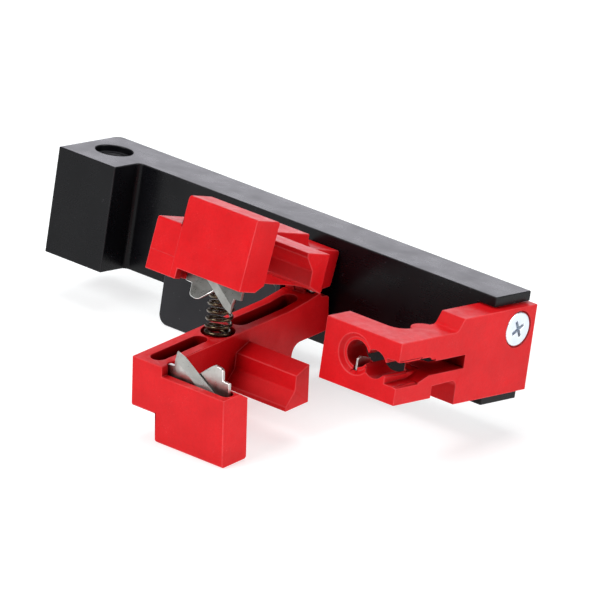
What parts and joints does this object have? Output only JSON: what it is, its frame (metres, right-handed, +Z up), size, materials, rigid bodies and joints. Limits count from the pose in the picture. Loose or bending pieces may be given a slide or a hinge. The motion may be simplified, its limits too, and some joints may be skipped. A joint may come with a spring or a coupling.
{
  "type": "rotary cable stripping tool",
  "caption": "Hand cable stripper: crank bar with a hinged, sprung pair of bladed jaws on a bracket and a notched cable clamp in its forked end.",
  "frame": {"origin": "middle of the bounding box, on the surface the tool rests on", "axes": "+X along the bar from the handle end to the cable clamp, +Y from the jaws towards the back of the bar, +Z up from the surface it rests on; the bar leans back by 7.3 degrees about X"},
  "size_m": [0.15, 0.0848, 0.0678],
  "materials": {
    "anodised_aluminium": "satin black anodising over machined aluminium",
    "black_steel": "satin black oxide sheet steel",
    "red_plastic": "satin moulded nylon, fine texture and faint mould lines",
    "blade_steel": "ground and polished hardened steel",
    "zinc_steel": "bright zinc plate",
    "spring_steel": "oil-blackened spring wire"
  },
  "bodies": {
    "bar": {"crank_bar": "anodised_aluminium", "handle_insert": "black_steel", "pivot_bracket": "black_steel", "bracket_screw_1": "zinc_steel", "bracket_screw_2": "zinc_steel", "bracket_screw_3": "zinc_steel", "hinge_pin": "blade_steel", "hinge_clip": "spring_steel", "hinge_washer": "black_steel", "jaw_spring": "spring_steel", "cable_clamp": "red_plastic", "clamp_screw": "zinc_steel", "clamp_blade": "blade_steel", "clamp_blade_screw": "zinc_steel"},
    "upper_jaw_body": {"upper_jaw": "red_plastic", "upper_tooth_blade": "blade_steel", "upper_lobe_blade": "blade_steel", "upper_blade_screw": "zinc_steel"},
    "lower_jaw_body": {"lower_jaw": "red_plastic", "lower_tooth_blade": "blade_steel", "lower_lobe_blade": "blade_steel", "lower_blade_screw": "zinc_steel"}
  },
  "joints": [
    {"name": "upper_jaw_hinge", "type": "hinge", "parent": "bar", "child": "upper_jaw_body", "pos_m": [-0.075, 0.02031, 0.02678], "axis": [1, 0, 0], "range_deg": [0, 9.8], "stiffness_Nm_per_rad": 0.97, "springref_deg": -3.44, "deforming": ["jaw_spring"]},
    {"name": "lower_jaw_hinge", "type": "hinge", "parent": "bar", "child": "lower_jaw_body", "pos_m": [-0.075, 0.02031, 0.02678], "axis": [-1, 0, 0], "range_deg": [0, 9.8], "stiffness_Nm_per_rad": 0.97, "springref_deg": -3.44, "deforming": ["jaw_spring"]}
  ],
  "couplings": [
    {"joint": "lower_jaw_hinge", "follows": "upper_jaw_hinge", "ratio": 1}
  ]
}
